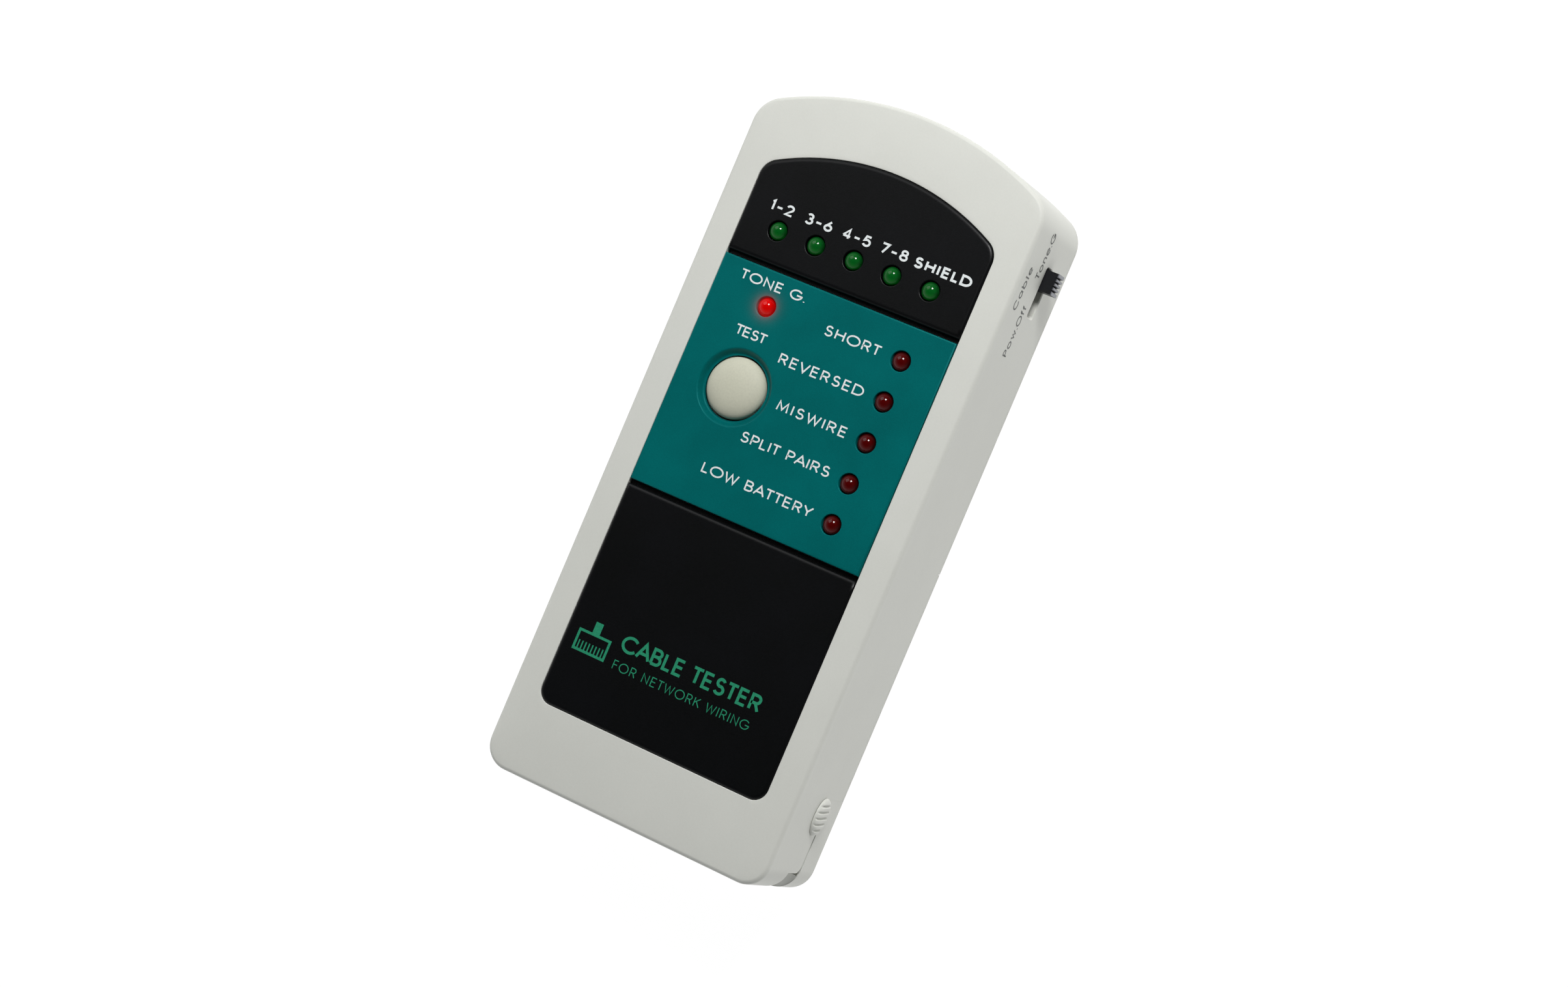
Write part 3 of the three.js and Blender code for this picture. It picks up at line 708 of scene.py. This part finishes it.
def tinted_epoxy(name, deep, edge, painted_light_side, lit=0.0):
    """Cast tinted epoxy: a clear gloss skin over a deep colour, with painted shade that darkens it at the
    rim and painted light that makes it lighter low on the side away from the key light, standing in for the
    light the nose gathers."""
    made, tree, shader = new_material(name, IOR=1.54, Roughness=0.1, Specular_IOR_Level=0.25)
    from_axis = add_node(tree, "ShaderNodeUVMap", uv_map="from_axis").outputs[0]
    split = add_node(tree, "ShaderNodeSeparateXYZ", {0: from_axis})
    # Painted shade: towards the rim the colour darkens from deep to edge. Painted light: low on the side
    # away from the key light it turns lighter.
    rim = mixed(tree, ranged(tree, split.outputs[0], 0.6, 1.0), deep, edge)
    colour = mixed(tree, ranged(tree, split.outputs[1], 0.2, 0.8), rim, painted_light_side)
    feed(shader, Base_Color=colour)
    if lit:
        feed(shader, Emission_Color=colour)
        shader.inputs["Emission Strength"].default_value = lit
    return made


# Each lamp: its deep colour, the painted shade at its rim, and the painted light on the side away from the
# key light.
epoxy_green = tinted_epoxy("lamp_epoxy_green", "07551a", "022a0c", "0a7a22")
epoxy_red = tinted_epoxy("lamp_epoxy_red", "4a0404", "1e0101", "6a0807")
epoxy_lit = tinted_epoxy("lamp_epoxy_red_lit", "b80302", "8c0203", "d01008", lit=0.35)
# Tinned copper wire, drawn: bright pale metal with a slightly dull skin.
tinned_wire, tree, shader = new_material("lead_tinned_copper", Metallic=1.0, Roughness=0.32)
feed(shader, Base_Color=mixed(tree, noise(tree, object_place(tree), Scale=2500.0), "a8a6a0", "d2d0c8"))

# The direction in which the epoxy's painted light lies, away from the key light.
AWAY_FROM_LIGHT = (0.1, -0.9, 0.0)
FLANGE = 1.9
LEAD_HALF = 0.25
LEAD_FOOT = 10.8
lamp_profile = [(0, LAMP_BASE), (FLANGE, LAMP_BASE), (FLANGE, LAMP_BASE + 1),
                (LAMP_RADIUS, LAMP_BASE + 1.05)]
lamp_profile += [(LAMP_RADIUS * math.cos(a), LAMP_TOP - LAMP_RADIUS + LAMP_RADIUS * math.sin(a))
                 for a in np.linspace(0, math.pi / 2, 13)[:-1]] + [(0, LAMP_TOP)]


def make_lamp(node, epoxy):
    """One lamp. Its map holds each point's distance from the axis and its lean away from the light, which
    place the painted rim shade and the painted light of its epoxy.
    """
    centre = middle_of(node)
    body = turned(lamp_profile, centre, 32)
    leads = []
    for x, y in ((centre[0] + side, centre[1]) for side in (-1.27, 1.27)):
        block = box_block(x - LEAD_HALF, x + LEAD_HALF, y - LEAD_HALF, y + LEAD_HALF,
                          LEAD_FOOT, LAMP_BASE + 0.2)
        leads.append((*block, 1))
    piece = make_piece(node + "_epoxy", "case", [(*body, 0), *leads], [epoxy, tinned_wire], [node])
    mesh = piece.data
    points = np.array([vertex.co for vertex in mesh.vertices]) / MM - centre
    away = np.hypot(points[:, 0], points[:, 1]) / LAMP_RADIUS
    lean = points @ AWAY_FROM_LIGHT / LAMP_RADIUS
    corners = [corner.vertex_index for corner in mesh.loops]
    layer = mesh.uv_layers.new(name="from_axis")
    layer.uv.foreach_set("vector", np.stack([away, lean], 1)[corners].astype(np.float32).ravel())


for node in pair_lamps:
    make_lamp(node, epoxy_green)
for node in fault_lamps:
    make_lamp(node, epoxy_red)
make_lamp("tone_lamp", epoxy_lit)


# ------------
# Test key. A round ivory key with a low dome and a soft rim, moulded with a flange that keeps it in.
KEY_RADIUS = 4.8
key_low, key_high = (corner.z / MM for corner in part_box("test_button"))
KEY_FLANGE = 6
KEY_CROWN = 2.0
key_profile = [(0, key_low), (KEY_FLANGE, key_low), (KEY_FLANGE, key_low + 1), (KEY_RADIUS, key_low + 1)]
# The crown is a superellipse, a little fuller than a plain ellipse, that turns down at the rim.
CROWN_POWER = 2.1
for angle in np.linspace(math.pi / 2, 0, 20):
    out, up = (max(turn, 0) ** (2 / CROWN_POWER) for turn in (math.sin(angle), math.cos(angle)))
    key_profile.append((KEY_RADIUS * out, key_high - KEY_CROWN + KEY_CROWN * up))
key_profile[-1] = (0, key_high)
# ABS, moulded ivory, fine satin grain: warm off-white with a soft sheen.
key_ivory = moulded_plastic("key_abs_ivory", "c9c9b6", "bebeac", 0.6, 0.3, 0.006, specular=0.3)
key_body = turned(key_profile, key_centre, 64)
make_piece("test_key", "key", [key_body], [key_ivory], ["test_button"])


# ------------
# Slide switch knob. A small black nylon cap pressed on the switch's stem, with five ribs on its face.
knob_low, knob_high = (np.array(corner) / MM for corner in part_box("slide_knob"))
ribs, rib_depth, groove_share = 5, 0.5, 0.3
rib_pitch = (knob_high[1] - knob_low[1]) / ribs
along = np.linspace(0, ribs, 101)
to_groove = np.abs(along - np.clip(np.round(along), 1, ribs - 1))
rib_x = knob_high[0] - rib_depth * np.clip(1 - to_groove / groove_share, 0, 1)
knob_path = np.vstack([
    np.column_stack([rib_x, knob_low[1] + along * rib_pitch]),
    [(knob_low[0], knob_high[1]), (knob_low[0], knob_low[1])],
])


def body_colour(shader):
    """The output that feeds a shader's colour so far."""
    return shader.inputs["Base Color"].links[0].from_socket


# Nylon, moulded black: near black with a waxy satin skin.
nylon_black = moulded_plastic("nylon_moulded_black", "0c0d14", "06070b", 0.45, 0.15, 0.006, specular=0.3)
# The same on the knob, with a painted highlight that turns its rib tips pale grey, standing in for the
# light the ridges catch.
nylon_painted_tips = moulded_plastic("knob_nylon_painted_tip_highlight", "0c0d14", "06070b", 0.4, 0.15, 0.006, specular=0.3)
tree, shader = shader_of(nylon_painted_tips)
split = add_node(tree, "ShaderNodeSeparateXYZ", {0: object_place(tree)})
# Painted highlight: the outer 0.3 mm of the ribs is mixed towards pale grey.
painted_tip_light = ranged(tree, split.outputs[0], (knob_high[0] - 0.3) * MM, (knob_high[0] - 0.02) * MM)
feed(shader, Base_Color=mixed(tree, painted_tip_light, body_colour(shader), "8c8e94"))
knob_block = capped([ring(knob_path, knob_low[2]), ring(knob_path, knob_high[2])])
make_piece("switch_knob", "switch_slider", [knob_block], [nylon_painted_tips], ["slide_knob"],
           sharp=55)


# ------------
# Legends. Plain function words and pair numbers, screen-printed in round, even strokes: white on the
# plates, dark grey by the slide switch, and a green plug sign with the words CABLE TESTER.
def arc(x, y, rx, ry, start=0, end=360):
    """Points on an elliptical arc about (x, y), from start to end in degrees."""
    angle = np.radians(np.linspace(start, end, max(3, int(abs(end - start) / 12) + 1)))
    return [(x + rx * math.cos(a), y + ry * math.sin(a)) for a in angle]


# Each letter is its width, how far its sides let a neighbour in, and its strokes, all in cap heights.
stem = [(0, 0), (0, 1)]
bowl = arc(0.34, 0.34, 0.34, 0.34)
LETTERS = {
    "A": (0.82, 0.12, [[(0, 0), (0.41, 1), (0.82, 0)], [(0.14, 0.33), (0.68, 0.33)]]),
    "B": (0.56, 0, [[*stem, (0.3, 1), *arc(0.3, 0.77, 0.22, 0.23, 80, -80), (0.28, 0.53)],
                      [(0, 0.53), (0.3, 0.53), *arc(0.3, 0.265, 0.26, 0.265, 80, -80), (0.3, 0), (0, 0)]]),
    "C": (0.9, 0.04, [arc(0.5, 0.5, 0.5, 0.5, 40, 320)]),
    "D": (0.78, 0.02, [[*stem, (0.28, 1), *arc(0.3, 0.5, 0.48, 0.5, 84, -84), (0.28, 0), (0, 0)]]),
    "E": (0.5, 0, [[(0.5, 0), (0, 0), (0, 1), (0.5, 1)], [(0, 0.52), (0.47, 0.52)]]),
    "F": (0.46, 0.04, [[*stem, (0.46, 1)], [(0, 0.52), (0.42, 0.52)]]),
    "G": (1.0, 0.04, [[*arc(0.5, 0.5, 0.5, 0.5, 42, 352), (0.98, 0.46), (0.55, 0.46)]]),
    "H": (0.66, 0, [stem, [(0.66, 0), (0.66, 1)], [(0, 0.52), (0.66, 0.52)]]),
    "I": (0, 0, [stem]),
    "K": (0.6, 0.03, [stem, [(0.58, 1), (0, 0.4)], [(0.2, 0.6), (0.62, 0)]]),
    "L": (0.44, 0.04, [[(0, 1), (0, 0), (0.44, 0)]]),
    "M": (0.84, 0, [[(0, 0), (0.08, 1), (0.42, 0.16), (0.76, 1), (0.84, 0)]]),
    "N": (0.66, 0, [[*stem, (0.66, 0), (0.66, 1)]]),
    "O": (1.0, 0.04, [arc(0.5, 0.5, 0.5, 0.5)]),
    "P": (0.54, 0.03, [[*stem, (0.26, 1), *arc(0.28, 0.73, 0.26, 0.27, 84, -84), (0.26, 0.46),
                        (0, 0.46)]]),
    "R": (0.58, 0, [[*stem, (0.28, 1), *arc(0.3, 0.74, 0.25, 0.26, 84, -84), (0.28, 0.48),
                       (0, 0.48)], [(0.3, 0.48), (0.58, 0)]]),
    "S": (0.54, 0, [[*arc(0.27, 0.755, 0.22, 0.245, 25, 262), *arc(0.27, 0.265, 0.27, 0.265, 78, -155)]]),
    "T": (0.62, 0.1, [[(0, 1), (0.62, 1)], [(0.31, 1), (0.31, 0)]]),
    "V": (0.74, 0.1, [[(0, 1), (0.37, 0), (0.74, 1)]]),
    "W": (1.06, 0.06, [[(0, 1), (0.27, 0), (0.53, 0.9), (0.79, 0), (1.06, 1)]]),
    "Y": (0.7, 0.1, [[(0, 1), (0.35, 0.44), (0.7, 1)], [(0.35, 0.44), (0.35, 0)]]),
    "1": (0.14, 0, [[(0, 0.86), (0.14, 1), (0.14, 0)]]),
    "2": (0.54, 0, [[*arc(0.27, 0.73, 0.26, 0.27, 165, -35), (0, 0), (0.54, 0)]]),
    "3": (0.5, 0, [[*arc(0.24, 0.76, 0.21, 0.24, 150, -62), (0.22, 0.54)],
                     [(0.2, 0.54), *arc(0.24, 0.27, 0.26, 0.27, 74, -155)]]),
    "4": (0.58, 0, [[(0.42, 0), (0.42, 1), (0, 0.26)], [(0, 0.26), (0.58, 0.26)]]),
    "5": (0.54, 0, [[(0.5, 1), (0.14, 1), (0.06, 0.56), *arc(0.27, 0.32, 0.27, 0.32, 112, -150)]]),
    "6": (0.54, 0, [[(0.42, 1), (0.05, 0.42)], arc(0.27, 0.29, 0.27, 0.29)]),
    "7": (0.52, 0.02, [[(0, 1), (0.52, 1), (0.16, 0)]]),
    "8": (0.52, 0, [arc(0.26, 0.77, 0.21, 0.23), arc(0.26, 0.27, 0.26, 0.27)]),
    "-": (0.42, 0.02, [[(0, 0.42), (0.42, 0.42)]]),
    ".": (0, 0.04, [[(0, 0), (0, 0.09)]]),
    " ": (0.16, 0, []),
    "a": (0.68, 0, [bowl, [(0.68, 0), (0.68, 0.68)]]),
    "b": (0.68, 0, [stem, bowl]),
    "e": (0.68, 0, [[(0.05, 0.36), (0.66, 0.36), *arc(0.34, 0.34, 0.34, 0.34, 12, 318)]]),
    "f": (0.28, 0.04, [[(0.3, 0.98), (0.2, 0.96), (0.1, 0.86), (0.1, 0)], [(-0.04, 0.66), (0.28, 0.66)]]),
    "l": (0, 0, [stem]),
    "n": (0.5, 0, [[(0, 0), (0, 0.68)], [(0, 0.36), *arc(0.25, 0.43, 0.25, 0.25, 170, 0), (0.5, 0)]]),
    "o": (0.68, 0, [bowl]),
    "w": (0.84, 0, [[(0, 0.68), (0.21, 0), (0.42, 0.6), (0.63, 0), (0.84, 0.68)]]),
}


def stroke(points, width, low, high):
    """A flat ink line: each point of the centreline moves half the width both ways along its mitre."""
    line = np.array(points, float)
    same_place = 1e-6
    line = line[np.insert(np.linalg.norm(np.diff(line, axis=0), axis=1) > same_place, 0, True)]
    ring_shaped = np.linalg.norm(line[0] - line[-1]) < same_place
    if ring_shaped:
        line = line[:-1]
    ahead, behind = np.roll(line, -1, 0) - line, line - np.roll(line, 1, 0)
    if not ring_shaped:
        ahead[-1], behind[0] = behind[-1], ahead[0]
    ahead /= np.linalg.norm(ahead, axis=1, keepdims=True)
    behind /= np.linalg.norm(behind, axis=1, keepdims=True)
    normal = np.stack([-(ahead + behind)[:, 1], (ahead + behind)[:, 0]], 1)
    sharpest_mitre = 0.35
    normal /= np.maximum(1 + (ahead * behind).sum(1, keepdims=True), sharpest_mitre)
    left, right = line + normal * width / 2, line - normal * width / 2
    rows = [[(*l, low), (*l, high), (*r, high), (*r, low)] for l, r in zip(left, right)]
    return skin(rows, loop=True) if ring_shaped else capped(rows)


# Ink stands 0.03 mm high. Strokes of one letter that cross differ by a step, so no two tops share a plane.
INK_FILM = 0.03
INK_STEP = 0.002


def words(text, left, right, y_middle, height, weight, low, stretch=1.45):
    """A line of letters whose ink runs from left to right and is height tall. The gap between letters is
    what is left of the width, less what each letter's sides let in, shared evenly."""
    cap = height - weight
    wide = [LETTERS[c][0] * cap * stretch for c in text]
    open_sides = [LETTERS[c][1] * cap * stretch for c in text]
    lets_in = 2 * sum(open_sides) - open_sides[0] - open_sides[-1]
    gap = (right - left - weight - sum(wide) + lets_in) / max(len(text) - 1, 1)
    parts, x = [], left + weight / 2
    for k, character in enumerate(text):
        for number, line in enumerate(LETTERS[character][2]):
            points = [(x + px * cap * stretch, y_middle + (py - 0.5) * cap) for px, py in line]
            parts.append(stroke(points, weight, low, low + INK_FILM + INK_STEP * number))
        x += wide[k] + gap - open_sides[k] - (open_sides[k + 1] if k + 1 < len(text) else 0)
    return parts


def screen_ink(name, colour, shadow):
    """Screen-printed ink: an opaque matt film whose edges and pinholes let a little of the plate show."""
    made, tree, shader = new_material(name, Roughness=0.6)
    specks = noise(tree, object_place(tree), Scale=9000.0, Detail=3.0)
    feed(shader, Base_Color=mixed(tree, ranged(tree, specks, 0.3, 0.6), shadow, colour))
    return made


ink_low = PLATE_TOP - 0.005
white_lines = []
for height, weight, lines in (
    (1.74, 0.33, (("1-2", -16.2, -12.2, 37.36), ("3-6", -10.05, -5.4, 37.36), ("4-5", -3.55, 1.3, 37.36),
                  ("7-8", 3.0, 7.7, 37.36))),
    (1.7, 0.37, (("SHIELD", 8.9, 18.6, 37.2),)),
    (1.6, 0.25, (("TONE G.", -16.4, -4.9, 25.95), ("TEST", -13.65, -8.1, 17.9))),
    (1.66, 0.25, (("SHORT", -0.05, 9.58, 22.76), ("REVERSED", -5.1, 9.58, 16.2),
                  ("MISWIRE", -2.45, 9.58, 9.6), ("SPLIT PAIRS", -5.85, 9.58, 3.2),
                  ("LOW BATTERY", -9.75, 9.58, -3.36))),
):
    for text, left, right, y in lines:
        white_lines += words(text, left, right, y, height, weight, ink_low)
ink_white = screen_ink("ink_screen_white", "e6eaea", "c9d2d2")
make_piece("legends_white", "case", white_lines, [ink_white])

# The green sign: two lines of words, and a modular plug in outline with its cable and eight contacts.
green_lines = words("CABLE TESTER", -10.6, 14.0, -32.6, 2.7, 0.46, ink_low, 1.15)
green_lines += words("FOR NETWORK WIRING", -10.6, 13.6, -36.2, 1.5, 0.15, ink_low, 1.1)
plug = [(-17.8, -36.4), (-17.8, -33.4), (-12.4, -33.4), (-12.4, -36.4), (-17.8, -36.4)]
cable = [(-15.1, -33.4), (-15.1, -31.4)]
contacts = [[(-17.2 + i * 0.6, -36.3), (-17.2 + i * 0.6, -34.9)] for i in range(8)]
for line, width, film in ((plug, 0.4, 0.03), (cable, 1.3, 0.028), *((c, 0.22, 0.026) for c in contacts)):
    green_lines.append(stroke(line, width, ink_low, ink_low + film))
ink_green = screen_ink("ink_screen_green", "0a8f66", "077052")
make_piece("legend_green", "case", green_lines, [ink_green])


def on_side_wall(part):
    """Lays a flat part on the slide switch's wall: its X runs along Y and its Y up the wall."""
    points, faces = part
    return np.column_stack([points[:, 2], points[:, 0], points[:, 1]]), faces


side_low = HALF_WIDTH - 0.005
side_lines = []
for text, left, right, height in (("Tone.G", 41.8, 49.3, 14.7), ("Cable", 36.1, 43.0, 18.7),
                                  ("Pow.Off", 29.4, 37.6, 14.5)):
    side_lines += [on_side_wall(p) for p in words(text, left, right, height, 1.75, 0.24, side_low, 1.0)]
ink_dark = screen_ink("ink_screen_dark_grey", "565858", "74766f")
make_piece("legends_side", "case", side_lines, [ink_dark])


def dress(names, material):
    """Gives CAD nodes one material."""
    for name in names:
        nodes[name].data.materials.clear()
        nodes[name].data.materials.append(material)


def position_mask(tree, axis, low_mm, high_mm):
    """1 where the object's own x, y or z (axis 0, 1, 2) is between two heights, in millimetres."""
    along = add_node(tree, "ShaderNodeSeparateXYZ", {0: object_place(tree)}).outputs[axis]
    above = maths(tree, "GREATER_THAN", along, low_mm * MM)
    return maths(tree, "MULTIPLY", above, maths(tree, "LESS_THAN", along, high_mm * MM))


def sheet_metal(name, colour, shadow, roughness, stretch):
    """Rolled or drawn metal: fine lines along one axis, from the stretch of the noise, vary its gloss."""
    made, tree, shader = new_material(name, Metallic=1.0)
    lines = add_node(tree, "ShaderNodeMapping", {0: object_place(tree), "Scale": stretch}).outputs[0]
    drawn = noise(tree, lines, Scale=1.0, Detail=3.0)
    feed(shader, Base_Color=mixed(tree, drawn, shadow, colour),
         Roughness=ranged(tree, drawn, low=roughness - 0.08, high=roughness + 0.1),
         Normal=relief(tree, drawn, 0.004))
    return made


# Zinc-plated steel, turned screws and the switch frame: pale blue-grey with fine turning lines.
zinc_steel = sheet_metal("steel_zinc_plated", "c4c8cc", "9a9ea2", 0.32, (900, 900, 6000))
dress([*case_screws, *board_screws, "slide_switch_frame"], zinc_steel)
# Tinned steel sheet, rolled along the socket's length: warm silver.
tinned_sheet = sheet_metal("socket_tinned_sheet", "cbc8c0", "a9a69e", 0.3, (5000, 300, 5000))
dress(["jack_shield", "clock_crystal"], tinned_sheet)
# Gold-plated phosphor bronze spring wire: yellow and bright.
gold_wire = sheet_metal("contact_gold_plated", "e0b04a", "b8862e", 0.22, (3000, 400, 3000))
dress([f"jack_contact_{i}" for i in range(1, 9)], gold_wire)
# Nylon, moulded black, as on the knob.
dress(["jack_housing", "push_plunger", "push_switch", "battery_snap", "slide_switch_slider",
       "snap_lead_minus"], nylon_black)
# Phenolic switch base, moulded brown with a woody fleck.
dress(["slide_switch_base"], moulded_plastic("switch_phenolic", "7a5430", "5e3f24", 0.6, 0.3, 0.01, 1.5))
# PVC wire insulation, extruded red: soft gloss.
dress(["snap_lead_plus"], moulded_plastic("lead_pvc_red", "a81818", "8a1010", 0.35, 0.2, 0.004))
# Conformal-dipped resistor array: mustard with an orange-peel skin.
dress(["resistor_array"], moulded_plastic("resistor_epoxy_dip", "9a7a3a", "84672f", 0.35, 0.8, 0.02))

# Glass-epoxy board: copper tracks 0.4 mm wide show as lighter green lines under the solder mask.
mask_green, tree, shader = new_material("board_solder_mask", Roughness=0.35, Coat_Weight=0.3, IOR=1.5)
place = object_place(tree)
tracks = add_node(tree, "ShaderNodeTexBrick",
                  {"Vector": place, "Color1": srgb("17502c"), "Color2": srgb("1d5c34"),
                   "Mortar": srgb("2f7d46"), "Scale": 1 / MM, "Mortar Size": 0.2, "Brick Width": 3.2,
                   "Row Height": 1.27})
feed(shader, Base_Color=tracks.outputs["Color"],
     Normal=relief(tree, noise(tree, place, Scale=1500.0), 0.01))
dress(["main_board"], mask_green)


def chip_material(name, middle_x):
    """Epoxy-moulded chip body, matt black, on tinned legs that start half a body from its middle line."""
    half_body = 3.25
    made = moulded_plastic(name, "1b1b1d", "121213", 0.6, 0.12, 0.008)
    tree, shader = shader_of(made)
    body = position_mask(tree, 0, middle_x - half_body, middle_x + half_body)
    feed(shader, Base_Color=mixed(tree, body, "c2c0b8", body_colour(shader)),
         Metallic=maths(tree, "SUBTRACT", 1.0, body))
    return made


for name in ("controller_chip", "driver_chip"):
    dress([name], chip_material(name + "_epoxy", middle_of(name)[0]))


def banded(name, colour, shadow, band, axis, low_mm, high_mm):
    """A printed sleeve or jacket that is bare metal between two heights."""
    made = moulded_plastic(name, colour, shadow, 0.38, 0.5, 0.004)
    tree, shader = shader_of(made)
    bare = position_mask(tree, axis, low_mm, high_mm)
    feed(shader, Base_Color=mixed(tree, bare, body_colour(shader), band), Metallic=bare)
    return made


# Battery: printed metal jacket, slate blue, with nickel-plated posts at its head.
dress(["battery"], banded("battery_jacket_printed", "3a4656", "323d4b", "c8c8c4", 1, -8.3, 0))
# Electrolytic capacitor: blue shrink sleeve with a bare aluminium end.
dress(["filter_capacitor"], banded("capacitor_pvc_sleeve", "1f4492", "193a7e", "c0c2c4", 2, 0, 4.9))
